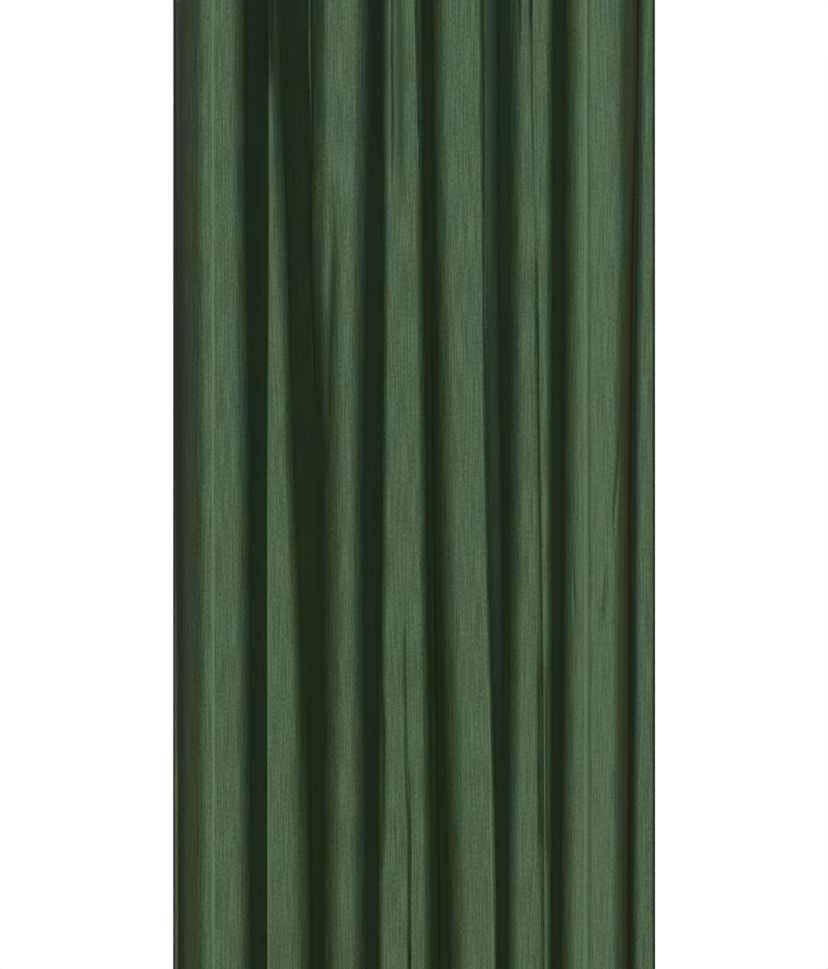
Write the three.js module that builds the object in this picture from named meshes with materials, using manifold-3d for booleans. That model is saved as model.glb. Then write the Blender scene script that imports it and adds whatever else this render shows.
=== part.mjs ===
// Eyelet door curtain, hanging from eight eyelets with both side edges turned to the back.
// Millimetres, +Z up, +X to the viewer's right, front toward -Y.
// The origin is the middle of the top edge; the line a rod would take runs along X through every eyelet.
import * as THREE from 'three';
import { mergeVertices } from 'three/addons/utils/BufferGeometryUtils.js';
import Module from 'manifold-3d';

const wasm = await Module();
wasm.setup();

// Driving dimensions
const DROP = 2134; // top edge to bottom edge
const FLAT_WIDTH = 1320; // cut width of the cloth, side edge to side edge
const END_MARGIN = 65; // side edge to the nearest eyelet, along the cloth
const CLOTH = 1.4; // thickness of the panel
const HEM_HEIGHT = 60; // bottom hem, turned up at the back
const HEM_CLOTH = 2.4; // thickness where the hem doubles the cloth
const HEM_STEP = 3; // height over which the hem's turned edge rises
const HEADING_HEIGHT = 100; // stiffened strip that holds the eyelets
const HEADING_CLOTH = 2.4; // doubled cloth with its stiffener
const SEAM_GAP = 0.3; // between heading and panel
const EYELET_DROP = 50; // top edge to eyelet centre
const BORE_RADIUS = 22; // clear opening of an eyelet
const BARREL_RADIUS = 23.5; // outside of the tube that passes through the cloth
const RIM_RADIUS = 35; // outside of an eyelet
const RIM_HEIGHT = 5.2; // from the middle of the cloth to the top of the domed rim
const EYELET_GAP = 0.35; // between an eyelet and the cloth
const HEAD_BEND = 14; // cloth taken by each bend of the stiff heading, on either side of its corner
const HEAD_FACE = 24; // least width of a fold in the stiff heading
const BEND_LIMIT = 0.94; // most of a straight that the bends at its two ends may take
const RIM_LIP = 1.8; // how far the rim falls from its crest to the opening
const RIM_CREST = 3; // opening to the rim's crest
const RIM_SHOULDER = 3.5; // outside of the rim to its shoulder
const RIM_FALL = 0.9; // how far the shoulder lies below the crest

// Heights of the fold table's three columns, below the top edge
const HEIGHTS = { upper: -200, middle: -775, lower: -1371 };
const SETTLED = -165; // height by which the folds have left the heading's stiff shape

// One row for each fold, from left to right. "left" and "right" are the fold's corners across the curtain,
// measured from its middle at the three heights. "bend" is the length of cloth that the left and the right
// corner take on either side: large for a soft bend, small for a sharp edge.
const FOLDS = [
  { name: 'end_left', front: false, left: [-303.5, -303.5, -303.5], right: [-297, -297, -296], bend: [0, 4] },
  { name: 'fold_1', front: true, left: [-285, -284, -283], right: [-216, -209, -205], bend: [40, 16] },
  { name: 'fold_2', front: false, left: [-185, -185.5, -186], right: [-176, -153, -136], bend: [5, 14] },
  { name: 'fold_3', front: true, left: [-119, -104.5, -109], right: [-59.5, -65.5, -67], bend: [22, 18] },
  { name: 'fold_4', front: false, left: [-38.5, -41, -46], right: [9, 14.5, 20], bend: [8, 11] },
  { name: 'fold_5', front: true, left: [26, 35, 48], right: [86, 92, 104.5], bend: [20, 5] },
  { name: 'fold_6', front: false, left: [125, 126.5, 122.5], right: [174.5, 174, 173.5], bend: [10, 10] },
  { name: 'fold_7', front: true, left: [194.5, 192.5, 187], right: [267, 267, 265.5], bend: [18, 26] },
  { name: 'end_right', front: false, left: [287.5, 281, 278], right: [303.5, 303.5, 303.5], bend: [7, 0] },
];

// Mesh fineness
const BEND_STEPS = 5; // straight pieces in a bend
const ROW_STEPS = 11; // rows of the panel below the settling zone
const SETTLE_STEPS = 4; // rows in the settling zone
const RING_STEPS = 24; // straight pieces round an eyelet

// Search for the depths of the folds
const FIRST_DEPTH = 55;
const DEPTH_TURNS = 60;
const DEPTH_SHARE = 0.6; // of the missing cloth that each turn adds

// Colours
const CLOTH_COLOUR = 0x4a6248;
const EYELET_COLOUR = 0xa8a9a6;

const eyeletCount = FOLDS.length - 1;
const pitch = (FLAT_WIDTH - 2 * END_MARGIN) / (eyeletCount - 1);
const panelTop = -HEADING_HEIGHT - SEAM_GAP;

// Value at height z of a smooth curve through the table's columns; the ends are level.
function atHeight([upper, middle, lower], z) {
  const knots = [HEIGHTS.upper, HEIGHTS.middle, HEIGHTS.lower];
  const values = [upper, middle, lower];
  if (z >= knots[0]) {
    return upper;
  }
  if (z <= knots[2]) {
    return lower;
  }
  const k = z > knots[1] ? 0 : 1;
  const first = (values[1] - values[0]) / (knots[1] - knots[0]);
  const second = (values[2] - values[1]) / (knots[2] - knots[1]);
  const inner = first * second > 0 ? (2 * first * second) / (first + second) : 0;
  const slopes = [0, inner, 0];
  const span = knots[k + 1] - knots[k];
  const s = (z - knots[k]) / span;
  return (
    (1 + 2 * s) * (1 - s) ** 2 * values[k] +
    s * (1 - s) ** 2 * span * slopes[k] +
    s * s * (3 - 2 * s) * values[k + 1] +
    s * s * (s - 1) * span * slopes[k + 1]
  );
}

// 0 in the heading, 1 where the folds hang freely.
function settledAt(z) {
  return THREE.MathUtils.smoothstep(-z, HEADING_HEIGHT, -SETTLED);
}

// The folds' corners at height z, without their depths.
function foldsAt(z) {
  const settled = settledAt(z);
  return FOLDS.map((row, k) => {
    let left = atHeight(row.left, z);
    let right = atHeight(row.right, z);
    const isEnd = k === 0 || k === FOLDS.length - 1;
    const lack = isEnd ? 0 : Math.max(0, HEAD_FACE - (right - left)) * (1 - settled);
    left -= lack / 2;
    right += lack / 2;
    const bend = row.bend.map((free) => THREE.MathUtils.lerp(free && HEAD_BEND, free, settled));
    return { sign: row.front ? -1 : 1, left, right, bend };
  });
}

// The section's corners in order, each with its bend.
function cornersOf(folds, depths) {
  return folds.flatMap((fold, k) => [
    { at: new THREE.Vector2(fold.left, fold.sign * depths[k]), bend: fold.bend[0] },
    { at: new THREE.Vector2(fold.right, fold.sign * depths[k]), bend: fold.bend[1] },
  ]);
}

// The section as a line of points: straight between the corners, and curved round each of them.
function roundCorners(corners) {
  const spans = corners.slice(1).map((corner, k) => corner.at.distanceTo(corners[k].at));
  const share = (bend, other, span) => {
    const wanted = bend + other;
    return wanted === 0 ? 0 : bend * Math.min(1, (BEND_LIMIT * span) / wanted);
  };
  const points = [corners[0].at.clone()];
  for (let k = 1; k < corners.length - 1; k += 1) {
    const corner = corners[k];
    const before = share(corner.bend, corners[k - 1].bend, spans[k - 1]);
    const after = share(corner.bend, corners[k + 1].bend, spans[k]);
    const start = corner.at.clone().lerp(corners[k - 1].at, before / spans[k - 1]);
    const end = corner.at.clone().lerp(corners[k + 1].at, after / spans[k]);
    const bend = new THREE.QuadraticBezierCurve(start, corner.at, end);
    points.push(...bend.getPoints(BEND_STEPS));
  }
  points.push(corners[corners.length - 1].at.clone());
  return points;
}

// Lengths of cloth between the places where the section crosses the rod's line, ends included.
function clothShares(points) {
  const shares = [0];
  for (let k = 1; k < points.length; k += 1) {
    const [a, b] = [points[k - 1], points[k]];
    const length = a.distanceTo(b);
    if (a.y * b.y < 0) {
      const part = a.y / (a.y - b.y);
      shares[shares.length - 1] += length * part;
      shares.push(length * (1 - part));
    } else {
      shares[shares.length - 1] += length;
    }
  }
  return shares;
}

// The section at height z. Each fold is as deep as its own share of the cloth makes it, because
// the cloth between two eyelets stays the same width all the way down.
function sectionAt(z) {
  const folds = foldsAt(z);
  const wanted = folds.map((fold, k) => (k === 0 || k === folds.length - 1 ? END_MARGIN : pitch));
  let depths = folds.map(() => FIRST_DEPTH);
  let points = [];
  for (let turn = 0; turn < DEPTH_TURNS; turn += 1) {
    points = roundCorners(cornersOf(folds, depths));
    const shares = clothShares(points);
    const sides = (k) => (k === 0 || k === folds.length - 1 ? 1 : 2);
    depths = depths.map((depth, k) => depth + (DEPTH_SHARE * (wanted[k] - shares[k])) / sides(k));
  }
  return { folds, depths, points };
}

// Closed sheet from rows of section points; each row has its height and how far the cloth reaches to
// the front and to the back of its middle line.
function sheet(rows) {
  const columns = rows[0].points.length;
  const positions = [];
  for (const side of ['front', 'back']) {
    for (const row of rows) {
      row.points.forEach((point, i) => {
        const previous = row.points[Math.max(0, i - 1)];
        const next = row.points[Math.min(columns - 1, i + 1)];
        const along = next.clone().sub(previous).normalize();
        const reach = side === 'front' ? row.front : -row.back;
        positions.push(point.x + along.y * reach, point.y - along.x * reach, row.z);
      });
    }
  }
  const front = (j, i) => j * columns + i;
  const back = (j, i) => (rows.length + j) * columns + i;
  const index = [];
  const quad = (a, b, c, d) => index.push(a, b, c, a, c, d);
  const last = rows.length - 1;
  for (let j = 0; j < last; j += 1) {
    for (let i = 0; i < columns - 1; i += 1) {
      quad(front(j, i), front(j + 1, i), front(j + 1, i + 1), front(j, i + 1));
      quad(back(j, i), back(j, i + 1), back(j + 1, i + 1), back(j + 1, i));
    }
    const end = columns - 1;
    quad(back(j, 0), back(j + 1, 0), front(j + 1, 0), front(j, 0));
    quad(front(j, end), front(j + 1, end), back(j + 1, end), back(j, end));
  }
  for (let i = 0; i < columns - 1; i += 1) {
    quad(front(0, i), front(0, i + 1), back(0, i + 1), back(0, i));
    quad(front(last, i), back(last, i), back(last, i + 1), front(last, i + 1));
  }
  const geometry = new THREE.BufferGeometry();
  geometry.setAttribute('position', new THREE.Float32BufferAttribute(positions, 3));
  geometry.setIndex(index);
  return geometry;
}

// The geometry with one vertex for each place.
function welded(geometry) {
  geometry.deleteAttribute('normal');
  geometry.deleteAttribute('uv');
  return mergeVertices(geometry);
}

function toManifold(geometry) {
  return new wasm.Manifold(
    new wasm.Mesh({
      numProp: 3,
      vertProperties: new Float32Array(geometry.attributes.position.array),
      triVerts: new Uint32Array(geometry.index.array),
    }),
  );
}

function fromManifold(solid) {
  const mesh = solid.getMesh();
  const geometry = new THREE.BufferGeometry();
  geometry.setAttribute('position', new THREE.Float32BufferAttribute(mesh.vertProperties, 3));
  geometry.setIndex(new THREE.Uint32BufferAttribute(mesh.triVerts, 1));
  return geometry;
}

// Closed surface of revolution about Z from a closed outline of radius and height.
function revolve(outline) {
  const positions = [];
  const index = [];
  for (let i = 0; i < RING_STEPS; i += 1) {
    const angle = (2 * Math.PI * i) / RING_STEPS;
    for (const [radius, height] of outline) {
      positions.push(radius * Math.cos(angle), radius * Math.sin(angle), height);
    }
  }
  const count = outline.length;
  for (let i = 0; i < RING_STEPS; i += 1) {
    const next = (i + 1) % RING_STEPS;
    for (let k = 0; k < count; k += 1) {
      const above = (k + 1) % count;
      const [a, b] = [i * count + k, next * count + k];
      const [c, d] = [next * count + above, i * count + above];
      index.push(a, b, c, a, c, d);
    }
  }
  const geometry = new THREE.BufferGeometry();
  geometry.setAttribute('position', new THREE.Float32BufferAttribute(positions, 3));
  geometry.setIndex(index);
  return geometry;
}

// Panel: the settling zone under the heading, the long drop, and the bottom hem.
const hemTop = -DROP + HEM_HEIGHT;
const heights = [];
for (let k = 0; k < SETTLE_STEPS; k += 1) {
  heights.push(THREE.MathUtils.lerp(panelTop, HEIGHTS.upper, k / SETTLE_STEPS));
}
for (let k = 0; k <= ROW_STEPS; k += 1) {
  heights.push(THREE.MathUtils.lerp(HEIGHTS.upper, hemTop, k / ROW_STEPS));
}
const panelRows = heights.map((z) => ({
  z,
  points: sectionAt(z).points,
  front: CLOTH / 2,
  back: CLOTH / 2,
}));
for (const z of [hemTop - HEM_STEP, -DROP]) {
  panelRows.push({ z, points: sectionAt(z).points, front: CLOTH / 2, back: HEM_CLOTH - CLOTH / 2 });
}
const panelGeometry = sheet(panelRows);

// Heading: the same section, kept stiff, with a hole for each eyelet.
const headSection = sectionAt(0);
const headingRows = [0, -HEADING_HEIGHT].map((z) => ({
  z,
  points: headSection.points,
  front: HEADING_CLOTH / 2,
  back: HEADING_CLOTH / 2,
}));

// Where each eyelet sits: the middle of its slope on the rod's line, and the way its hole faces.
const seats = [];
for (let k = 0; k < eyeletCount; k += 1) {
  const from = headSection.folds[k];
  const to = headSection.folds[k + 1];
  const start = new THREE.Vector2(from.right, from.sign * headSection.depths[k]);
  const end = new THREE.Vector2(to.left, to.sign * headSection.depths[k + 1]);
  const centre = start.clone().lerp(end, start.y / (start.y - end.y));
  const along = end.clone().sub(start).normalize();
  const turn = new THREE.Matrix4().makeBasis(
    new THREE.Vector3(along.x, along.y, 0),
    new THREE.Vector3(0, 0, 1),
    new THREE.Vector3(along.y, -along.x, 0),
  );
  turn.setPosition(centre.x, centre.y, -EYELET_DROP);
  seats.push(turn);
}

const holeRadius = BARREL_RADIUS + EYELET_GAP;
const holeLength = 4 * HEADING_CLOTH;
let headingSolid = toManifold(sheet(headingRows));
for (const seat of seats) {
  const hole = new THREE.CylinderGeometry(holeRadius, holeRadius, holeLength, RING_STEPS);
  hole.rotateX(Math.PI / 2);
  hole.applyMatrix4(seat);
  headingSolid = headingSolid.subtract(toManifold(welded(hole)));
}
const headingGeometry = fromManifold(headingSolid);

// Eyelet: a domed rim on each face, joined by a short tube through the cloth.
const grip = HEADING_CLOTH / 2 + EYELET_GAP;
const frontOutline = [
  [BARREL_RADIUS, grip],
  [RIM_RADIUS, grip],
  [RIM_RADIUS - RIM_SHOULDER, RIM_HEIGHT - RIM_FALL],
  [BORE_RADIUS + RIM_CREST, RIM_HEIGHT],
  [BORE_RADIUS, RIM_HEIGHT - RIM_LIP],
];
const backOutline = frontOutline.map(([radius, height]) => [radius, -height]).reverse();
const eyeletOutline = [...backOutline, ...frontOutline];

const cloth = new THREE.MeshStandardMaterial({ color: CLOTH_COLOUR, roughness: 0.6, metalness: 0 });
const metal = new THREE.MeshStandardMaterial({ color: EYELET_COLOUR, roughness: 0.32, metalness: 1 });

const group = new THREE.Group();
group.name = 'eyelet_door_curtain';

function add(name, geometry, material) {
  geometry.computeVertexNormals();
  const mesh = new THREE.Mesh(geometry, material);
  mesh.name = name;
  group.add(mesh);
}

add('panel', panelGeometry, cloth);
add('heading', headingGeometry, cloth);
seats.forEach((seat, k) => {
  const ring = revolve(eyeletOutline);
  ring.applyMatrix4(seat);
  add(`eyelet_${k + 1}`, ring, metal);
});

export default group;
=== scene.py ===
import math
from collections import namedtuple

import bpy
import numpy as np
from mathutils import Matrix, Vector, noise


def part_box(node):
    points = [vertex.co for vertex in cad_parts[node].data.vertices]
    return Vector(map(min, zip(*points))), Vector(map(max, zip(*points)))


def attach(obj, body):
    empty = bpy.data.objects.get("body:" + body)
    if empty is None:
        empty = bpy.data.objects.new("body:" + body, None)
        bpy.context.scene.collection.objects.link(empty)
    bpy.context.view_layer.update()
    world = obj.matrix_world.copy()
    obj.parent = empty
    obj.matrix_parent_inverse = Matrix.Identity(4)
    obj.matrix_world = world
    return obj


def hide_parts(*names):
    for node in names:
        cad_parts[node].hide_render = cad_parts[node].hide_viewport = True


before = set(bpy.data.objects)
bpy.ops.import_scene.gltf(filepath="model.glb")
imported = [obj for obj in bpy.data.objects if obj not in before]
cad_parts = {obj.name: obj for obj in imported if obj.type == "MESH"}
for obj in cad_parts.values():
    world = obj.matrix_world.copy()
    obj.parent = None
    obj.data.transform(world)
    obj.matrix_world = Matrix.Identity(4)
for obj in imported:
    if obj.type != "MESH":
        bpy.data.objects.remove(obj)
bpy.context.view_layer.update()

MM = 0.001

# Sizes of the cloth and its seams
FLAT_WIDTH = 1320.0  # side edge to side edge, laid flat
END_MARGIN = 65.0  # side edge to the nearest eyelet, along the cloth
CLOTH = 1.4  # thickness of the panel
TURNING = 1.0  # what a turned hem adds at the back
TURNING_END = 2.0  # length over which a side turning ends
HEM_HEIGHT = 60.0  # bottom hem
SIDE_HEM = 25.0  # side turnings
HEADING_CLOTH = 2.4  # thickness of the doubled heading
HEADING_FLAP = 6.0  # how far the heading's turned edge hangs behind the panel
FLAP_CLOTH = 0.7  # thickness of that edge
FLAP_GAP = 0.35  # from the panel's back to that edge
FLAP_STEP = 0.02  # drop over which the heading steps back to that edge
HEAD_BEND = 14.0  # cloth taken by each bend of the stiff heading, on either side of its corner
HEAD_FACE = 24.0  # least width of a fold in the stiff heading
heading_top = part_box("heading")[1].z / MM
heading_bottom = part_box("heading")[0].z / MM
panel_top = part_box("panel")[1].z / MM
panel_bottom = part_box("panel")[0].z / MM
hem_top = panel_bottom + HEM_HEIGHT

# Stitching: short threads that rise from the cloth, run along it and sink in again
STITCH = 3.4  # length of a stitch
STITCH_PITCH = 5.0
STITCH_DIP = 0.35  # how far a row of stitches pulls the cloth in
STITCH_DIP_WIDTH = 1.3
HEM_INSET = 3.0  # from the edge of a hem's turning to its stitches
HEADING_INSET = 4.0  # from the heading's lower edge to its stitches
HEM_CALM = 6.0  # from the hem's stitches to cloth that they no longer pull in
THREAD_RADIUS = 0.38
THREAD_SIDES = 6
THREAD_STEP = 0.5  # length over which a thread's direction is measured
hem_line = hem_top - HEM_INSET
heading_line = heading_bottom + HEADING_INSET
side_line = SIDE_HEM - HEM_INSET

# Rings of points round a stitch: share of its length, lift above the cloth, and share of the thread's radius
Ring = namedtuple("Ring", "along lift size")
STITCH_RINGS = (Ring(0.0, -0.3, 0.5), Ring(0.2, 0.25, 1.0), Ring(0.8, 0.25, 1.0), Ring(1.0, -0.3, 0.5))

# Sizes of an eyelet
EYELET_DROP = 50.0  # top edge to the middle of an eyelet
EYELET_GAP = 0.35  # between the metal and the cloth it grips
BORE_RADIUS = 22.0
BARREL_RADIUS = 23.5
RIM_RADIUS = 35.0
RIM_HEIGHT = 5.2  # from the middle of the cloth to the crest of the rim
RIM_CREST = 3.0  # opening to the crest
RIM_LIP = 1.8  # how far the rim falls from its crest to the opening
RIM_EDGE = 0.7  # from the rim's underside to its widest point
RIM_UNDERSIDE = 1.2  # from the outer edge in to the end of the flat underside
RIM_CORNER = 0.3  # from the outer edge in to the corner between the two
RIM_CORNER_RISE = 0.25
RIM_FULLNESS = 0.72  # the dome's outline is fuller than a circle below 1
HOLE_RADIUS = 29.0  # cut in the heading's cloth, under the rim
SEAT_STEP = 1  # to either side of an eyelet's middle, where the cloth's direction is measured

# Heights of the fold table's three columns, and the height by which the folds have left the heading's shape
FOLD_HEIGHTS = (-200.0, -775.0, -1371.0)
SETTLED = -165.0

# Folds from left to right: the corners' places across the curtain at the three heights, and the cloth that
# each corner takes on either side, large for a soft bend and small for a sharp edge
Fold = namedtuple("Fold", "front left right bend")
SIDE_EDGE = 304  # middle of the curtain to either side edge, as it hangs
LEFT_EDGE = (-SIDE_EDGE,) * len(FOLD_HEIGHTS)
RIGHT_EDGE = (SIDE_EDGE,) * len(FOLD_HEIGHTS)
FOLDS = [
    Fold(False, LEFT_EDGE, (-302.3, -299, -296), (0, 4)),
    Fold(True, (-287, -286, -285), (-216, -210.5, -207.5), (44, 16)),
    Fold(False, (-184.3, -185.3, -186), (-174, -153, -132), (2.5, 12)),
    Fold(True, (-119, -104.5, -109), (-59.5, -65.5, -64), (22, 18)),
    Fold(False, (-38.2, -39.5, -44.3), (9, 14.5, 20), (8, 11)),
    Fold(True, (26, 35, 51), (83.5, 89.5, 102.8), (20, 3.5)),
    Fold(False, (125, 125.5, 119), (176.5, 174.7, 174), (15, 12)),
    Fold(True, (194.5, 192.5, 187), (270, 259.5, 259), (18, 13)),
    Fold(False, (286, 279, 277.5), RIGHT_EDGE, (7, 0)),
]
EYELETS = len(FOLDS) - 1
PITCH = (FLAT_WIDTH - 2 * END_MARGIN) / (EYELETS - 1)

# Creases pressed into the folds, from left to right by their upper ends. A path is places across the curtain
# with their heights, from the top down. A ridge stands forward and a trough lies back. A tuck is a slit with
# a lip on its right, and a lap has its lip on the left. The width is measured along the cloth. The painted
# light paints highlight and shade along the crease: above 0 a painted highlight, lighter and more specular,
# below 0 painted shade, down to near black.
Crease = namedtuple("Crease", "kind path height width polish", defaults=[0.0])
SEAM = panel_top
HEM = panel_bottom
SLIT_TOP = ((147.5, SEAM), (149.4, -324), (153.7, -430), (154.5, -480))
SLIT = ((154.4, -475), (160, -858), (162.6, -1110), (164.5, HEM))
CREASES = [
    # Painted shadow lines down both side edges and in the corner beside the left edge
    Crease("trough", ((-SIDE_EDGE, SEAM), (-SIDE_EDGE, HEM)), 0.6, 2.0, -4.5),
    Crease("trough", ((-300.5, SEAM), (-298.2, -567), (-295.6, -1171), (-295, HEM)), 0.4, 6.0, -2.6),
    Crease("ridge", ((-270.5, SEAM), (-269, -420), (-266, -800), (-266, HEM)), 4.0, 14.0),
    Crease("ridge", ((-251.8, SEAM), (-250.9, -1386), (-250.5, HEM)), 0.3, 2.0, 1.3),
    Crease("ridge", ((-183.4, -260), (-184.2, -700), (-184.2, HEM)), 0.3, 1.3, 2.2),
    Crease("trough", ((-181, SEAM), (-180.5, -320)), 0.4, 5.0, -2.6),
    Crease("trough", ((-169, -230), (-165, -417), (-161, -543), (-158, -700)), 3.0, 8.0),
    Crease("ridge", ((-142, -900), (-137, -1171), (-133.5, -1386), (-132.5, HEM)), 4.5, 12.0),
    Crease("lap", ((-130.4, SEAM), (-130, -218), (-128, -340)), 2.4, 5.0),
    Crease("trough", ((-127.3, -230), (-127.3, -700)), 2.5, 5.0),
    Crease("ridge", ((-121, -230), (-121.5, -391), (-121, -542), (-122, -700)), 6.0, 14.0),
    Crease("ridge", ((-110.6, SEAM), (-110.6, -460)), 2.6, 9.0),
    Crease("ridge", ((-109.5, -420), (-113, -542), (-116, -620)), 1.8, 5.0),
    Crease("trough", ((-100, -360), (-105.5, -542), (-109, -610), (-107, -780)), 3.6, 7.5),
    Crease("ridge", ((-44, -960), (-42, -1120), (-43, -1290)), 4.0, 6.0),
    Crease("trough", ((-27.1, SEAM), (-27, -300), (-26.7, -370)), 2.4, 1.0),
    Crease("trough", ((-18.5, SEAM), (-16.8, -290), (-15.5, -460)), 0.8, 5.0, -1.5),
    Crease("trough", ((-12.3, -940), (-10, -1100), (-8, -1190)), 1.4, 1.2),
    Crease("trough", ((-8, -1140), (-5.4, -1200), (-5.8, -1386), (-5, -1700)), 4.0, 1.3),
    Crease("trough", ((1.5, SEAM), (3, -165), (5.5, -291), (5.5, -350)), 5.0, 1.2),
    Crease("trough", ((22, -480), (26, -900), (33, -1386), (36, HEM)), 0.4, 7.0, -1.8),
    Crease("trough", ((86.4, SEAM), (86.4, -520), (88.5, -640)), 1.5, 1.2),
    Crease("ridge", ((89, SEAM), (89, -480), (91, -640)), 2.0, 8.0, 0.9),
    Crease("ridge", ((93, -1000), (96, -1173), (99, -1371), (101, HEM)), 0.3, 1.5, 1.0),
    Crease("ridge", ((94.5, SEAM), (94.5, -480), (101, -869), (110, -1300)), 9.0, 20.0, 0.4),
    Crease("ridge", ((117, -700), (112, -1386), (111, HEM)), 0.3, 50.0, 1.0),
    Crease("trough", ((133, SEAM), (134.6, -165), (135, -215)), 3.5, 1.2),
    Crease("tuck", SLIT_TOP, 1.2, 6.0, 0.2),
    Crease("trough", ((147.5, SEAM), (148.5, -240)), 2.6, 1.2),
    Crease("tuck", SLIT, 2.4, 6.0, 0.6),
    Crease("trough", SLIT, 2.6, 1.2),
    Crease("trough", ((157.5, -960), (159.5, -1045), (161, -1270)), 2.6, 3.0, -1.2),
    Crease("trough", ((166.5, -1000), (167, -1260)), 1.6, 1.5, -1.0),
    Crease("trough", ((198.5, -880), (203, -955)), 1.0, 1.6),
    Crease("ridge", ((214.9, SEAM), (214.9, -1000), (214.2, -1386), (214, HEM)), 0.5, 3.0, 0.6),
    Crease("trough", ((219.8, SEAM), (220.6, -500), (220.4, HEM)), 0.6, 1.2),
    # A broad painted highlight down this fold, over a low crown
    Crease("ridge", ((221, SEAM), (221, HEM)), 0.8, 28.0, 0.55),
    Crease("trough", ((243.5, -865), (235.5, -965)), 1.5, 1.5),
    Crease("trough", ((259.5, -715), (249, -835)), 1.5, 1.5),
    Crease("ridge", ((264.5, -454), (263, -706), (260, -957), (259, HEM)), 0.3, 16.0, 0.65),
    Crease("trough", ((270, SEAM), (269, -330), (264, -480)), 3.5, 14.0),
    Crease("trough", ((284, SEAM), (274.5, -454), (271, -850), (269.5, HEM)), 0.4, 16.0, -2.3),
    Crease("ridge", ((300.2, SEAM), (300.2, HEM)), 0.5, 1.2, 0.5),
    Crease("trough", ((SIDE_EDGE, SEAM), (SIDE_EDGE, HEM)), 2.5, 1.8, -4.5),
]
SEAM_FADE = 45.0  # length over which a crease grows below the heading's seam
CREASE_FADE = 25.0  # length over which a crease runs out at its ends, for each unit of its width
FADE_SHARE = 0.45  # most of its length that a crease takes to run out
SLIT_WIDTH = 1.2
SLIT_SHARE = 0.5  # width of a slit's far side beside its lip

# Faint unevenness of hung cloth: the size of its waves across and down, their depth, and whether they are
# only on the folds' sides
Wave = namedtuple("Wave", "across down depth sides_only")
WAVES = (Wave(70, 800, 1.0, False), Wave(26, 260, 0.35, False), Wave(48, 520, 1.8, True))
WAVE_APART = 7.5  # between the patterns of the waves, so that none repeats another
WAVE_START = -200.0  # below the stiff heading
SOFT_START = -1400.0  # height below which the bends grow softer
HEM_SOFTNESS = 1.9  # how many times wider they are at the hem

# Mesh fineness: threads across, and the rows' spacing down to each height
PANEL_THREADS = 700
HEADING_THREADS = 520
NARROW = 6.5  # creases narrower than this get closer threads
NARROW_REACH = 2.0  # to this many times the crease's width
CREASE_CLOSENESS = 3.5  # how many more threads they get
CLOSING = 4.0  # length over which the threads close up
THREAD_SAMPLES = 5280  # places at which the closeness of the threads is worked out
ROW_BANDS = ((-170.0, 10.0), (-700.0, 33.0), (-970.0, 18.0), (-1400.0, 33.0), (hem_top + HEM_CALM, 75.0))
HEADING_ROW = 2.6
BEND_STEPS = 12
EYELET_SIDES = 96
RIM_STEPS = 9
LIP_STEPS = 5

# Solving for the folds' depths
FIRST_DEPTH = 60.0
SOLVE_TURNS = 24
SOLVE_SHARE = 0.6  # share of the lack that each turn makes up
BEND_ROOM = 0.94  # share of the cloth between two corners that their bends may take
SMALL = 1e-6


def at_height(values, z):
    """Value at height z of a smooth curve through a table row; level beyond the ends."""
    z = min(max(z, FOLD_HEIGHTS[2]), FOLD_HEIGHTS[0])
    k = 0 if z > FOLD_HEIGHTS[1] else 1
    rises = [(values[j + 1] - values[j]) / (FOLD_HEIGHTS[j + 1] - FOLD_HEIGHTS[j]) for j in (0, 1)]
    both = rises[0] * rises[1]
    inner = 2 * both / (rises[0] + rises[1]) if both > 0 else 0.0
    slopes = (0.0, inner, 0.0)
    span = FOLD_HEIGHTS[k + 1] - FOLD_HEIGHTS[k]
    s = (z - FOLD_HEIGHTS[k]) / span
    return (
        (1 + 2 * s) * (1 - s) ** 2 * values[k]
        + s * (1 - s) ** 2 * span * slopes[k]
        + s * s * (3 - 2 * s) * values[k + 1]
        + s * s * (s - 1) * span * slopes[k + 1]
    )


def smooth_step(value, low, high):
    """0 up to low, 1 from high on, and a smooth rise between them."""
    t = np.clip((value - low) / (high - low), 0.0, 1.0)
    return t * t * (3 - 2 * t)


# Folds
def fold_corners(z):
    """Places of the section's corners across the curtain, their sides (front is -1) and their bends."""
    settled = smooth_step(z, heading_bottom, SETTLED)
    softness = 1 + (HEM_SOFTNESS - 1) * smooth_step(z, SOFT_START, panel_bottom)
    places, sides, bends = [], [], []
    for k, fold in enumerate(FOLDS):
        left, right = at_height(fold.left, z), at_height(fold.right, z)
        if 0 < k < len(FOLDS) - 1:
            lack = max(0.0, HEAD_FACE - (right - left)) * (1 - settled)
            left, right = left - lack / 2, right + lack / 2
        places += [left, right]
        sides += [-1.0 if fold.front else 1.0] * 2
        for bend in fold.bend:
            bends.append(HEAD_BEND + (bend * softness - HEAD_BEND) * settled if bend else 0.0)
    return np.array(places), np.array(sides), np.array(bends)


def rounded(corners, bends):
    """The section as a line of points: straight between the corners, and curved round each of them."""
    spans = np.linalg.norm(np.diff(corners, axis=0), axis=1)
    room = np.minimum(1.0, BEND_ROOM * spans / np.maximum(bends[:-1] + bends[1:], SMALL))
    s = np.linspace(0, 1, BEND_STEPS + 1)[:, None]
    points = [corners[:1]]
    for k in range(1, len(corners) - 1):
        start = corners[k] + (corners[k - 1] - corners[k]) * bends[k] * room[k - 1] / spans[k - 1]
        end = corners[k] + (corners[k + 1] - corners[k]) * bends[k] * room[k] / spans[k]
        points.append((1 - s) ** 2 * start + 2 * s * (1 - s) * corners[k] + s**2 * end)
    points.append(corners[-1:])
    return np.vstack(points)


def run_along(points):
    """Distance of each point from the first, along the line."""
    return np.concatenate([[0.0], np.cumsum(np.linalg.norm(np.diff(points, axis=0), axis=1))])


def rod_crossings(points):
    """Distances along the section at which it crosses the rod's line."""
    run = run_along(points)
    y = points[:, 1]
    at = np.nonzero(y[:-1] * y[1:] < 0)[0]
    return run[at] + (run[at + 1] - run[at]) * y[at] / (y[at] - y[at + 1])


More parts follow.
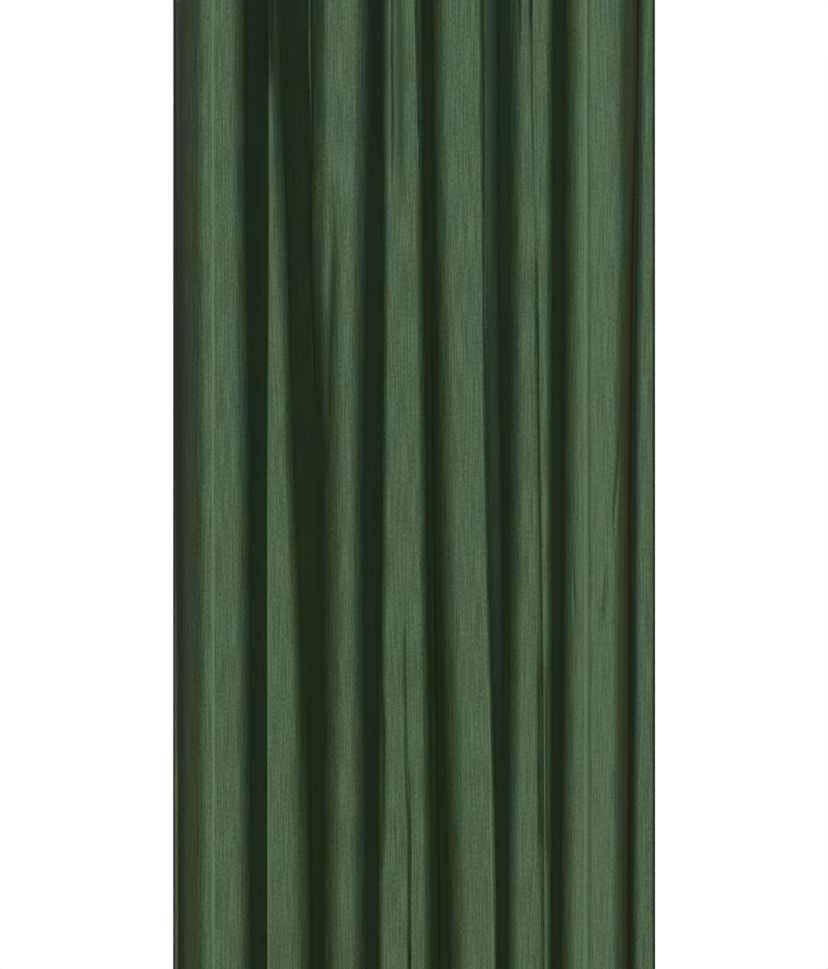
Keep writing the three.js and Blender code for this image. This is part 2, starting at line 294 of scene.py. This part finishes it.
def section(z):
    """The cloth's middle line at height z, each fold as deep as its share of the cloth makes it."""
    places, sides, bends = fold_corners(z)
    wanted = np.full(len(FOLDS), PITCH)
    wanted[[0, -1]] = END_MARGIN
    legs = np.full(len(FOLDS), 2.0)
    legs[[0, -1]] = 1.0
    depths = np.full(len(FOLDS), FIRST_DEPTH)
    for _ in range(SOLVE_TURNS):
        points = rounded(np.column_stack([places, sides * np.repeat(depths, 2)]), bends)
        shares = np.diff(np.concatenate([[0.0], rod_crossings(points), run_along(points)[-1:]]))
        depths += SOLVE_SHARE * (wanted - shares) / legs
    return points


def thread_at(across, z):
    """Place on the flat cloth of the thread that hangs at a place across the curtain."""
    points = section(z)
    run = run_along(points)
    return np.interp(across, points[:, 0], run) * FLAT_WIDTH / run[-1]


def panel_threads():
    """Places of the panel's threads along the flat cloth, closer together where a narrow crease runs."""
    even = np.linspace(0, FLAT_WIDTH, THREAD_SAMPLES)
    weight = np.ones_like(even)
    for crease in CREASES:
        if crease.width < NARROW:
            lines = [thread_at(across, z) for across, z in crease.path]
            reach = NARROW_REACH * crease.width
            away = np.maximum(min(lines) - reach - even, even - max(lines) - reach)
            weight = np.maximum(weight, 1 + CREASE_CLOSENESS * smooth_step(-away, -CLOSING, 0))
    share = np.cumsum(weight) - weight[0]
    return np.interp(np.linspace(0, share[-1], PANEL_THREADS), share, even)


def cloth_grid(heights, threads):
    """Places across and toward the back of the threads, one row for each height."""
    rows = []
    for z in heights:
        points = section(z)
        run = run_along(points)
        rows.append([np.interp(threads * run[-1] / FLAT_WIDTH, run, points[:, axis]) for axis in (0, 1)])
    return np.array(rows).transpose(1, 0, 2)


def front_normals(x, y, threads):
    """Level directions that point out of the cloth's front face."""
    dx, dy = np.gradient(x, threads, axis=1), np.gradient(y, threads, axis=1)
    size = np.hypot(dx, dy)
    return dy / size, -dx / size


# Creases and unevenness
def crease_shape(kind, offset, width):
    """How far a crease of unit height moves the cloth forward, by the distance from its line."""
    if kind == "ridge":
        return np.exp(-((offset / width) ** 2))
    if kind == "trough":
        return -np.exp(-((offset / width) ** 2))
    offset = -offset if kind == "lap" else offset
    side = 0.5 + 0.5 * np.tanh(offset / SLIT_WIDTH)
    lip = side * np.exp(-np.maximum(offset, 0) / width)
    slit = (1 - side) * np.exp(np.minimum(offset, 0) / (SLIT_SHARE * width))
    return lip - slit


def creases(x, threads, heights):
    """How far the creases move the cloth forward, and the highlight and shade that they paint on it."""
    push, polish = np.zeros_like(x), np.zeros_like(x)
    for crease in CREASES:
        across, levels = np.array(crease.path).T
        fade = min(CREASE_FADE * crease.width, FADE_SHARE * (levels[0] - levels[-1]))
        growth = min(SEAM_FADE, fade) if levels[0] == SEAM else fade
        for j, z in enumerate(heights):
            strength = smooth_step(levels[0] - z, 0, growth) * smooth_step(z - levels[-1], 0, fade)
            if strength > 0:
                line = np.interp(np.interp(-z, -levels, across), x[j], threads)
                shape = strength * crease_shape(crease.kind, threads - line, crease.width)
                push[j] += crease.height * shape
                polish[j] += crease.polish * np.abs(shape)
    return push, polish


def unevenness(nx, threads, heights):
    """How far the faint waves of hung cloth move it forward."""
    push = np.zeros_like(nx)
    for k, wave in enumerate(WAVES):
        for j, z in enumerate(heights):
            strength = wave.depth * smooth_step(-z, -panel_top, -WAVE_START)
            if strength > 0:
                places = [Vector((s / wave.across, z / wave.down, WAVE_APART * k)) for s in threads]
                rise = np.array([noise.noise(place) for place in places])
                push[j] += strength * rise * (nx[j] ** 2 if wave.sides_only else 1)
    return push


# Cloth as a closed sheet: front and back points of each thread at each height
Sheet = namedtuple("Sheet", "threads heights normal front back")


def make_sheet(x, y, threads, heights, front, back):
    """Front and back points of the cloth; front and back are its reaches from the middle line."""
    nx, ny = front_normals(x, y, threads)
    level = np.broadcast_to(heights[:, None], x.shape)
    faces = [np.stack([x + nx * reach, y + ny * reach, level], -1) for reach in (front, -back)]
    normal = np.stack([nx, ny, np.zeros_like(nx)], -1)
    return Sheet(threads, heights, normal, *faces)


def sheet_mesh(name, sheet, material, keep=None):
    """Closed mesh of a sheet, with its rims flat and its faces smooth; keep tells which cells hold cloth."""
    rows, columns = sheet.front.shape[:2]
    index = np.arange(rows * columns).reshape(rows, columns)
    keep = np.ones((rows - 1, columns - 1), bool) if keep is None else keep
    a, b, c, d = index[:-1, :-1], index[1:, :-1], index[1:, 1:], index[:-1, 1:]
    behind = rows * columns
    face = np.stack([a, b, c, d], -1)[keep]
    faces = [face, face[:, ::-1] + behind]
    room = np.pad(keep, 1)
    for beside, start, end in (
        (room[1:-1, :-2], a, b),
        (room[2:, 1:-1], b, c),
        (room[1:-1, 2:], c, d),
        (room[:-2, 1:-1], d, a),
    ):
        rim = keep & ~beside
        faces.append(np.stack([end[rim], start[rim], start[rim] + behind, end[rim] + behind], -1))
    faces = np.concatenate(faces)
    smooth = np.arange(len(faces)) < 2 * len(face)
    used, faces = np.unique(faces, return_inverse=True)
    points = np.concatenate([sheet.front.reshape(-1, 3), sheet.back.reshape(-1, 3)])[used]
    along, down = np.meshgrid(sheet.threads, sheet.heights)
    flat = np.tile(np.column_stack([along.ravel(), down.ravel()]), (2, 1))[used]
    return plain_mesh(name, points, faces.reshape(-1, 4).tolist(), smooth, flat, material)


def plain_mesh(name, points, faces, smooth, flat, material):
    """Piece from points in millimetres and faces; flat is each point's place on the unrolled surface."""
    mesh = bpy.data.meshes.new(name)
    mesh.from_pydata((np.asarray(points) * MM).tolist(), [], faces)
    mesh.polygons.foreach_set("use_smooth", np.broadcast_to(smooth, len(faces)).tolist())
    corner = np.empty(len(mesh.loops), int)
    mesh.loops.foreach_get("vertex_index", corner)
    mesh.uv_layers.new(name="flat").data.foreach_set("uv", (np.asarray(flat)[corner] * MM).ravel())
    mesh.materials.append(material)
    mesh.update()
    piece = bpy.data.objects.new(name, mesh)
    bpy.context.scene.collection.objects.link(piece)
    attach(piece, "root")
    return piece


def side_turning(threads):
    """1 on the side hems and 0 between them."""
    from_edge = np.minimum(threads, FLAT_WIDTH - threads)
    return smooth_step(-from_edge, -SIDE_HEM, TURNING_END - SIDE_HEM)


def stitch_dip(heights, line):
    """How far a row of stitches pulls the cloth in at each height."""
    return STITCH_DIP * np.exp(-(((heights - line) / STITCH_DIP_WIDTH) ** 2))[:, None]


# Panel
def panel_heights():
    """Heights of the panel's rows, closer where creases and stitches need it."""
    heights = [panel_top]
    for end, step in ROW_BANDS:
        count = math.ceil((heights[-1] - end) / step)
        heights += np.linspace(heights[-1], end, count + 1)[1:].tolist()
    heights += [hem_top, hem_line + STITCH_DIP_WIDTH, hem_line, hem_line - STITCH_DIP_WIDTH]
    heights += [hem_line - HEM_CALM, panel_bottom + HEM_HEIGHT / 2, panel_bottom]
    return np.array(heights)


def make_panel(material):
    """Panel with its creases, hem and side turnings, and its sheet for the stitches."""
    threads, heights = panel_threads(), panel_heights()
    x, y = cloth_grid(heights, threads)
    nx, ny = front_normals(x, y, threads)
    push, polish = creases(x, threads, heights)
    push += unevenness(nx, threads, heights)
    turned = np.maximum(side_turning(threads)[None, :], (heights < hem_top)[:, None])
    half = CLOTH / 2 - stitch_dip(heights, hem_line)
    sheet = make_sheet(x + nx * push, y + ny * push, threads, heights, half, half + TURNING * turned)
    piece = sheet_mesh("panel_cloth", sheet, material)
    # Painted highlight and shade of the creases, kept on the mesh for the cloth's material
    wear_and_painted_light = piece.data.attributes.new("polish", "FLOAT", "POINT")
    wear_and_painted_light.data.foreach_set("value", np.tile(polish.ravel(), 2))
    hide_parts("panel")
    return piece, sheet


# Heading: a stiff doubled strip, with a hole under each eyelet and a thin edge that laps the panel's back
def make_heading(material, seats):
    """Heading with its holes and its turned edge, and its sheet for the stitches."""
    threads = np.linspace(0, FLAT_WIDTH, HEADING_THREADS)
    count = math.ceil((heading_top - heading_bottom) / HEADING_ROW)
    face = np.linspace(heading_top, heading_bottom, count + 1)
    flap_top = heading_bottom - FLAP_STEP
    heights = np.concatenate([face, [flap_top, heading_bottom - HEADING_FLAP]])
    x, y = cloth_grid(heights, threads)
    flap = (heights <= flap_top)[:, None]
    panel_back = CLOTH / 2 + TURNING * side_turning(threads)[None, :] + FLAP_GAP
    half = HEADING_CLOTH / 2 - stitch_dip(heights, heading_line)
    front = np.where(flap, -panel_back, half)
    back = np.where(flap, panel_back + FLAP_CLOTH, half)
    sheet = make_sheet(x, y, threads, heights, front, back)
    along = (threads[1:] + threads[:-1]) / 2
    down = (heights[1:] + heights[:-1]) / 2
    keep = np.ones((len(down), len(along)), bool)
    for seat in seats:
        keep &= np.hypot(along[None, :] - seat.along, down[:, None] + EYELET_DROP) > HOLE_RADIUS
    piece = sheet_mesh("heading_cloth", sheet, material, keep)
    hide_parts("heading")
    return piece, sheet


# Eyelets
Seat = namedtuple("Seat", "along middle axis")


def eyelet_seats():
    """Where the heading crosses the rod's line, and the direction out of the cloth's front there."""
    points = section(-EYELET_DROP)
    run = run_along(points)
    seats = []
    for at in rod_crossings(points):
        ahead, behind = [
            [np.interp(near, run, points[:, axis]) for axis in (0, 1)]
            for near in (at + SEAT_STEP, at - SEAT_STEP)
        ]
        tangent = Vector((ahead[0] - behind[0], ahead[1] - behind[1], 0)).normalized()
        middle = Vector((np.interp(at, run, points[:, 0]), 0, -EYELET_DROP))
        seats.append(Seat(at * FLAT_WIDTH / run[-1], middle, Vector((tangent.y, -tangent.x, 0))))
    return seats


def eyelet_profile():
    """Half of the ring's outline as radius and height: the underside, the edge, the dome, the bore."""
    grip = HEADING_CLOTH / 2 + EYELET_GAP
    crest = BORE_RADIUS + RIM_CREST
    widest = grip + RIM_EDGE
    outline = [
        (BARREL_RADIUS, grip),
        (RIM_RADIUS - RIM_UNDERSIDE, grip),
        (RIM_RADIUS - RIM_CORNER, grip + RIM_CORNER_RISE),
    ]
    for t in np.linspace(0, math.pi / 2, RIM_STEPS + 1):
        radius = crest + (RIM_RADIUS - crest) * math.cos(t) ** RIM_FULLNESS
        outline.append((radius, widest + (RIM_HEIGHT - widest) * math.sin(t)))
    for t in np.linspace(math.pi / 2, 0, LIP_STEPS + 1)[1:]:
        outline.append((crest - RIM_CREST * math.cos(t), RIM_HEIGHT - RIM_LIP * (1 - math.sin(t))))
    return outline


def make_eyelet(k, seat, material):
    """Ring turned from its outline, round the axis of its seat."""
    half = eyelet_profile()
    outline = np.array(half + [(radius, -height) for radius, height in reversed(half)])
    turns = np.linspace(0, 2 * math.pi, EYELET_SIDES, endpoint=False)
    up = Vector((0, 0, 1))
    across = np.array(up.cross(seat.axis))
    spokes = np.cos(turns)[:, None] * across + np.sin(turns)[:, None] * np.array(up)
    points = spokes[:, None, :] * outline[None, :, :1] + np.array(seat.axis) * outline[None, :, 1:]
    points = points.reshape(-1, 3) + np.array(seat.middle)
    index = np.arange(EYELET_SIDES * len(outline)).reshape(EYELET_SIDES, len(outline))
    ahead, inner = np.roll(index, -1, 0), np.roll(index, -1, 1)
    faces = np.stack([index, inner, np.roll(ahead, -1, 1), ahead], -1).reshape(-1, 4)
    around, over = np.meshgrid(turns * RIM_RADIUS, run_along(outline), indexing="ij")
    flat = np.column_stack([around.ravel(), over.ravel()])
    piece = plain_mesh(f"eyelet_ring_{k}", points, faces.tolist(), True, flat, material)
    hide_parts(f"eyelet_{k}")
    return piece


# Stitches
def on_sheet(sheet, along, z, face):
    """Point of a sheet's front or back at a place on the flat cloth, and the direction out of it."""
    j = int(np.clip(np.searchsorted(-sheet.heights, -z), 1, len(sheet.heights) - 1))
    t = np.clip((sheet.heights[j - 1] - z) / (sheet.heights[j - 1] - sheet.heights[j]), 0, 1)
    found = []
    for grid in (getattr(sheet, face), sheet.normal):
        row = grid[j - 1] * (1 - t) + grid[j] * t
        found.append(np.array([np.interp(along, sheet.threads, row[:, axis]) for axis in range(3)]))
    at, out = found
    at[2] = z
    return at, out if face == "front" else -out


def add_stitch(points, faces, flat, sheet, start, step, face):
    """One stitch's points, faces and unrolled places, added to the lists."""
    first = len(points)
    for ring in STITCH_RINGS:
        place = start + step * STITCH * ring.along
        at, out = on_sheet(sheet, *place, face)
        ahead, _ = on_sheet(sheet, *(place + step * THREAD_STEP), face)
        way = (ahead - at) / np.linalg.norm(ahead - at)
        side = np.cross(out, way)
        for k in range(THREAD_SIDES):
            turn = 2 * math.pi * k / THREAD_SIDES
            spoke = side * math.cos(turn) + out * math.sin(turn)
            points.append(at + out * ring.lift + spoke * THREAD_RADIUS * ring.size)
            flat.append((STITCH * ring.along, turn * THREAD_RADIUS))
    last = first + THREAD_SIDES * (len(STITCH_RINGS) - 1)
    for a in range(first, last, THREAD_SIDES):
        for k in range(THREAD_SIDES):
            n = (k + 1) % THREAD_SIDES
            faces.append((a + k, a + n, a + THREAD_SIDES + n, a + THREAD_SIDES + k))
    faces.append(tuple(range(first + THREAD_SIDES - 1, first - 1, -1)))
    faces.append(tuple(range(last, last + THREAD_SIDES)))


def make_stitches(name, lines, material):
    """One piece of stitches along straight lines of the flat cloth, on both faces of each line's sheet."""
    points, faces, flat = [], [], []
    for sheet, start, end in lines:
        start, end = np.array(start), np.array(end)
        length = np.linalg.norm(end - start)
        step = (end - start) / length
        for at in np.arange(STITCH_PITCH, length - STITCH_PITCH, STITCH_PITCH):
            for face in ("front", "back"):
                add_stitch(points, faces, flat, sheet, start + step * at, step, face)
    piece = plain_mesh(name, points, faces, True, flat, material)
    return piece


# Colours
CLOTH_TEAL = (0.044, 0.08, 0.045)
CLOTH_OLIVE = (0.051, 0.081, 0.033)
CLOTH_TEAL_DEEP = (0.021, 0.04, 0.022)
CLOTH_OLIVE_DEEP = (0.026, 0.04, 0.016)
# Near black: painted shade for the darkest creases and the side edges
CLOTH_PAINTED_SHADE = (0.002, 0.004, 0.002)
CLOTH_SHEEN = (0.66, 1, 0.6)
THREAD_DARK = (0.035, 0.06, 0.036)
THREAD_LIGHT = (0.085, 0.135, 0.085)
STEEL_DARK = (0.5, 0.5, 0.485)
STEEL_LIGHT = (0.68, 0.68, 0.66)
FLOOR_DARK = (0.76, 0.76, 0.75)
FLOOR_LIGHT = (0.82, 0.82, 0.81)

# Marks of the materials: their size on the unrolled surface, in millimetres, and how fine their detail is
Marks = namedtuple("Marks", "across down detail")
SLUB = Marks(1.7, 70, 3)
FLECK = Marks(1.8, 4.5, 1)
WEFT = Marks(7, 1.6, 2)
CLOUD = Marks(32, 130, 2)
FIBRE = Marks(0.8, 0.25, 2)
BRUSHING = Marks(30, 0.25, 3)
HANDLING = Marks(9, 4, 4)
FLOOR_CLOUD = Marks(400, 400, 3)
WARP_SPACING = 0.5
WEFT_SPACING = 0.6
TWIST_SPACING = 0.5

# How far and how strongly a material's marks stand out, in millimetres and as a share
Bump = namedtuple("Bump", "distance strength")

# How the cloth's marks make its look: their shares in the yarn, their heights in its relief, and ranges of
# the marks with what each range is spread to
SLUB_SHARE, FLECK_SHARE, WEFT_SHARE, PAINTED_LIGHT_SHARE = 0.5, 0.3, 0.2, 0.12
SLUB_RISE, FLECK_RISE, WEFT_RISE, ROW_RISE = 1, 0.5, 0.4, 0.15
HUE_RANGE = (0.47, 0.77)
# Painted cool light from above: the cloth turns teal towards its top
HUE_FALL = -0.16  # change of hue for each metre up the cloth
YARN_RANGE = (0.42, 0.66)
YARN_COLOUR = (0, 1.5)
YARN_ROUGHNESS = (0.575, 0.485)
PAINTED_SHADE_RANGE = (-3.2, -0.8)  # painted light from full painted shade to the yarn's own colour
PAINTED_HIGHLIGHT_RANGE = (0.7, 2)  # painted light from the yarn's own colour to a full painted highlight
SHEEN = 0.495
PAINTED_HIGHLIGHT_SHEEN = 0.4  # specular level added at a full painted highlight
CLOTH_BUMP = Bump(0.25, 0.5)
WHOLE = (0, 1)

# The same for the sewing thread, the metal and the floor
TWIST_SHARE, FIBRE_SHARE = 0.6, 0.4
THREAD_RANGE = (0.2, 0.8)
FIBRE_RANGE = (0.3, 0.7)
FIBRE_ROUGHNESS = (0.65, 0.5)
TWIST_BUMP = Bump(0.1, 0.6)
BRUSHING_SHARE, HANDLING_SHARE = 0.6, 0.4
STEEL_RANGE = (0.35, 0.65)
WEAR_SHARE = 0.5  # of each of these marks in the metal's roughness
WEAR_RANGE = (0.3, 0.7)
STEEL_ROUGHNESS = (0.26, 0.44)
BRUSHING_BUMP = Bump(0.03, 0.4)
FLOOR_ROUGHNESS = 0.8

# Blender's own numbers: bands of its wave texture for each unit, and the sockets of its colour mix
WAVE_BANDS = 20 / (2 * math.pi)
MIX_SHARE, MIX_FIRST, MIX_SECOND, MIX_RESULT = 0, 6, 7, 2


# Materials
def new_material(name):
    """Material with its shader and the place on the unrolled surface."""
    material = bpy.data.materials.new(name)
    material.use_nodes = True
    flat = material.node_tree.nodes.new("ShaderNodeUVMap")
    flat.uv_map = "flat"
    return material, material.node_tree.nodes["Principled BSDF"], flat.outputs["UV"]


def grain(tree, place, marks):
    """Noise with marks of this size."""
    size = tree.nodes.new("ShaderNodeMapping")
    size.inputs["Scale"].default_value = (1 / (marks.across * MM), 1 / (marks.down * MM), 1)
    mark = tree.nodes.new("ShaderNodeTexNoise")
    mark.noise_dimensions = "2D"
    mark.inputs["Scale"].default_value = 1
    mark.inputs["Detail"].default_value = marks.detail
    tree.links.new(place, size.inputs["Vector"])
    tree.links.new(size.outputs["Vector"], mark.inputs["Vector"])
    return mark.outputs["Fac"]


def thread_rows(tree, place, direction, spacing):
    """Even rows of threads this far apart, in millimetres."""
    wave = tree.nodes.new("ShaderNodeTexWave")
    wave.bands_direction = direction
    wave.inputs["Scale"].default_value = 1 / (WAVE_BANDS * spacing * MM)
    wave.inputs["Distortion"].default_value = 0
    tree.links.new(place, wave.inputs["Vector"])
    return wave.outputs["Fac"]


def weighed(tree, parts):
    """Sum of node outputs, each times its weight."""
    total = None
    for output, weight in parts:
        step = tree.nodes.new("ShaderNodeMath")
        step.operation = "MULTIPLY_ADD"
        tree.links.new(output, step.inputs[0])
        step.inputs[1].default_value = weight
        step.inputs[2].default_value = 0
        if total is not None:
            tree.links.new(total, step.inputs[2])
        total = step.outputs[0]
    return total


def spread(tree, value, source, target):
    """Value stretched from one range to another and held at its ends."""
    node = tree.nodes.new("ShaderNodeMapRange")
    for socket, number in zip(("From Min", "From Max", "To Min", "To Max"), (*source, *target)):
        node.inputs[socket].default_value = number
    tree.links.new(value, node.inputs["Value"])
    return node.outputs["Result"]


def blend_colours(tree, share, first, second):
    """Colour between two; each is a colour or a node's output."""
    node = tree.nodes.new("ShaderNodeMix")
    node.data_type = "RGBA"
    tree.links.new(share, node.inputs[MIX_SHARE])
    for socket, colour in ((node.inputs[MIX_FIRST], first), (node.inputs[MIX_SECOND], second)):
        if isinstance(colour, tuple):
            socket.default_value = (*colour, 1)
        else:
            tree.links.new(colour, socket)
    return node.outputs[MIX_RESULT]


def add_bump(tree, shader, height, bump):
    """Relief of the shader's surface from a mark's height."""
    node = tree.nodes.new("ShaderNodeBump")
    node.inputs["Strength"].default_value = bump.strength
    node.inputs["Distance"].default_value = bump.distance * MM
    tree.links.new(height, node.inputs["Height"])
    tree.links.new(node.outputs["Normal"], shader.inputs["Normal"])


def cloth_material():
    """Green satin with long slubs down the cloth and a fine uneven weft across it."""
    material, shader, place = new_material("slubbed_satin")
    tree = material.node_tree
    slub = grain(tree, place, SLUB)
    fleck = grain(tree, place, FLECK)
    weft = grain(tree, place, WEFT)
    cloud = grain(tree, place, CLOUD)
    warp_rows = thread_rows(tree, place, "X", WARP_SPACING)
    weft_rows = thread_rows(tree, place, "Y", WEFT_SPACING)
    wear_and_painted_light = tree.nodes.new("ShaderNodeAttribute")
    wear_and_painted_light.attribute_name = "polish"
    polish = wear_and_painted_light.outputs["Fac"]
    # The creases' painted light also lightens or darkens the yarn's colour
    shares = ((slub, SLUB_SHARE), (fleck, FLECK_SHARE), (weft, WEFT_SHARE), (polish, PAINTED_LIGHT_SHARE))
    yarn = weighed(tree, shares)
    parts = tree.nodes.new("ShaderNodeSeparateXYZ")
    tree.links.new(place, parts.inputs["Vector"])
    # Random tone, plus painted cool light from above that turns the cloth teal towards its top
    tone_and_painted_cool_light = weighed(tree, ((cloud, 1), (parts.outputs["Y"], HUE_FALL)))
    tone_and_painted_cool_light = spread(tree, tone_and_painted_cool_light, HUE_RANGE, WHOLE)
    hue = blend_colours(tree, tone_and_painted_cool_light, CLOTH_TEAL, CLOTH_OLIVE)
    deep = blend_colours(tree, tone_and_painted_cool_light, CLOTH_TEAL_DEEP, CLOTH_OLIVE_DEEP)
    colour = blend_colours(tree, spread(tree, yarn, YARN_RANGE, YARN_COLOUR), deep, hue)
    # Painted shade: strongly negative painted light darkens the colour to near black and takes away the
    # specular
    outside_painted_shade = spread(tree, polish, PAINTED_SHADE_RANGE, WHOLE)
    tree.links.new(blend_colours(tree, outside_painted_shade, CLOTH_PAINTED_SHADE, colour), shader.inputs["Base Color"])
    tree.links.new(spread(tree, yarn, YARN_RANGE, YARN_ROUGHNESS), shader.inputs["Roughness"])
    # Painted highlight: strongly positive painted light raises the specular along crease lines
    painted_highlight = spread(tree, polish, PAINTED_HIGHLIGHT_RANGE, WHOLE)
    sheen = weighed(tree, ((outside_painted_shade, SHEEN), (painted_highlight, PAINTED_HIGHLIGHT_SHEEN)))
    tree.links.new(sheen, shader.inputs["Specular IOR Level"])
    shader.inputs["Specular Tint"].default_value = (*CLOTH_SHEEN, 1)
    rises = ((slub, SLUB_RISE), (fleck, FLECK_RISE), (weft, WEFT_RISE))
    rises += ((warp_rows, ROW_RISE), (weft_rows, ROW_RISE))
    add_bump(tree, shader, weighed(tree, rises), CLOTH_BUMP)
    return material


def thread_material():
    """Twisted sewing thread a little lighter than the cloth."""
    material, shader, place = new_material("sewing_thread")
    tree = material.node_tree
    twist = thread_rows(tree, place, "DIAGONAL", TWIST_SPACING)
    fibre = grain(tree, place, FIBRE)
    mixed = weighed(tree, ((twist, TWIST_SHARE), (fibre, FIBRE_SHARE)))
    shade = spread(tree, mixed, THREAD_RANGE, WHOLE)
    tree.links.new(blend_colours(tree, shade, THREAD_DARK, THREAD_LIGHT), shader.inputs["Base Color"])
    tree.links.new(spread(tree, fibre, FIBRE_RANGE, FIBRE_ROUGHNESS), shader.inputs["Roughness"])
    add_bump(tree, shader, twist, TWIST_BUMP)
    return material


def metal_material():
    """Satin steel brushed round the ring, with faint handling marks."""
    material, shader, place = new_material("brushed_steel")
    tree = material.node_tree
    brushing = grain(tree, place, BRUSHING)
    handling = grain(tree, place, HANDLING)
    mixed = weighed(tree, ((brushing, BRUSHING_SHARE), (handling, HANDLING_SHARE)))
    shade = spread(tree, mixed, STEEL_RANGE, WHOLE)
    wear_and_painted_light = weighed(tree, ((brushing, WEAR_SHARE), (handling, WEAR_SHARE)))
    rough = spread(tree, wear_and_painted_light, WEAR_RANGE, STEEL_ROUGHNESS)
    tree.links.new(blend_colours(tree, shade, STEEL_DARK, STEEL_LIGHT), shader.inputs["Base Color"])
    tree.links.new(rough, shader.inputs["Roughness"])
    shader.inputs["Metallic"].default_value = 1
    add_bump(tree, shader, brushing, BRUSHING_BUMP)
    return material


def floor_material():
    """Pale matt floor with a faint unevenness."""
    material, shader, place = new_material("pale_floor")
    tree = material.node_tree
    cloud = grain(tree, place, FLOOR_CLOUD)
    tree.links.new(blend_colours(tree, cloud, FLOOR_DARK, FLOOR_LIGHT), shader.inputs["Base Color"])
    shader.inputs["Roughness"].default_value = FLOOR_ROUGHNESS
    return material


# Floor: a pale disc under the hem, below the camera's frame
FLOOR_RADIUS = 5000.0
FLOOR_DROP = 25.0  # hem to floor
FLOOR_SIDES = 96


def make_floor():
    turns = np.linspace(0, 2 * math.pi, FLOOR_SIDES, endpoint=False)
    points = np.column_stack([np.cos(turns), np.sin(turns), np.zeros_like(turns)]) * FLOOR_RADIUS
    points[:, 2] = panel_bottom - FLOOR_DROP
    mesh = bpy.data.meshes.new("floor")
    mesh.from_pydata((points * MM).tolist(), [], [tuple(range(len(points)))])
    flat = mesh.uv_layers.new(name="flat")
    for loop, corner in zip(mesh.loops, flat.data):
        corner.uv = mesh.vertices[loop.vertex_index].co.xy
    mesh.materials.append(floor_material())
    floor = bpy.data.objects.new("floor", mesh)
    bpy.context.scene.collection.objects.link(floor)
    # It lights nothing, so that the cloth's colour is the same at every height
    floor.visible_diffuse = False
    floor.visible_glossy = False


# Camera: straight on, from a distance, with the whole width of the curtain in the frame
FRAME_HEIGHT = 969  # in pixels
PIXEL = 1.2575 * MM  # what one pixel covers on the curtain
CAMERA_ASIDE = 0.15  # in pixels, to the right of the curtain's middle
CAMERA_DISTANCE = 14.0
SENSOR = 36.0  # in millimetres, as tall as the frame
VIEW_TOP = -165.0 * MM  # height at the frame's upper edge


def make_camera():
    data = bpy.data.cameras.new("camera")
    data.sensor_width = SENSOR
    data.lens = SENSOR * CAMERA_DISTANCE / (FRAME_HEIGHT * PIXEL)
    camera = bpy.data.objects.new("camera", data)
    camera.location = (CAMERA_ASIDE * PIXEL, -CAMERA_DISTANCE, VIEW_TOP - FRAME_HEIGHT * PIXEL / 2)
    camera.rotation_euler = (math.pi / 2, 0, 0)
    bpy.context.scene.collection.objects.link(camera)
    bpy.context.scene.camera = camera


# Light: a broad source by the camera, a weak warm and a weak cool one at the sides, one behind each side, one
# behind and one above. Angles and widths are in degrees, round from the front to the right and up.
Light = namedtuple("Light", "azimuth elevation strength width colour")
LIGHTS = {
    "front_light": Light(0, 8, 2.6, 20, (1, 1, 1)),
    "left_light": Light(-42, 10, 0.16, 40, (1, 0.75, 0.15)),
    "right_light": Light(42, 10, 0.32, 40, (0.25, 0.3, 1)),
    "left_edge_light": Light(-112, 10, 0.3, 40, (1, 0.85, 1)),
    "right_edge_light": Light(128, 8, 0.2, 30, (0.9, 0.6, 0.22)),
    "back_light": Light(180, 12, 2.4, 25, (1, 1, 1)),
    "top_light": Light(0, 90, 2.6, 20, (1, 1, 1)),
}
LEVEL = 90  # a source at this angle from straight above shines level
AMBIENT = 0.016
WHITE = (1, 1, 1, 1)


def make_lights():
    for name, light in LIGHTS.items():
        data = bpy.data.lights.new(name, "SUN")
        data.energy = light.strength
        data.angle = math.radians(light.width)
        data.color = light.colour
        source = bpy.data.objects.new(name, data)
        source.rotation_euler = (math.radians(LEVEL - light.elevation), 0, math.radians(light.azimuth))
        bpy.context.scene.collection.objects.link(source)


def make_surroundings():
    """White behind the curtain for the camera, and a faint even light."""
    world = bpy.data.worlds.new("studio")
    world.use_nodes = True
    nodes, links = world.node_tree.nodes, world.node_tree.links
    nodes["Background"].inputs["Color"].default_value = WHITE
    nodes["Background"].inputs["Strength"].default_value = AMBIENT
    seen = nodes.new("ShaderNodeBackground")
    seen.inputs["Color"].default_value = WHITE
    path = nodes.new("ShaderNodeLightPath")
    either = nodes.new("ShaderNodeMixShader")
    links.new(path.outputs["Is Camera Ray"], either.inputs[0])
    links.new(nodes["Background"].outputs[0], either.inputs[1])
    links.new(seen.outputs[0], either.inputs[2])
    links.new(either.outputs[0], nodes["World Output"].inputs["Surface"])
    bpy.context.scene.world = world
    bpy.context.scene.view_settings.view_transform = "Standard"


# The scene
make_camera()
make_lights()
make_surroundings()
make_floor()
cloth = cloth_material()
metal = metal_material()
thread = thread_material()
seats = eyelet_seats()
panel, panel_sheet = make_panel(cloth)
heading, heading_sheet = make_heading(cloth, seats)
eyelets = [make_eyelet(k + 1, seat, metal) for k, seat in enumerate(seats)]
hem_stitches = make_stitches("hem_stitches", [(panel_sheet, (0, hem_line), (FLAT_WIDTH, hem_line))], thread)
side_lines = [
    (panel_sheet, (along, panel_top), (along, panel_bottom)) for along in (side_line, FLAT_WIDTH - side_line)
]
side_stitches = make_stitches("side_stitches", side_lines, thread)
heading_row = (heading_sheet, (0, heading_line), (FLAT_WIDTH, heading_line))
heading_stitches = make_stitches("heading_stitches", [heading_row], thread)
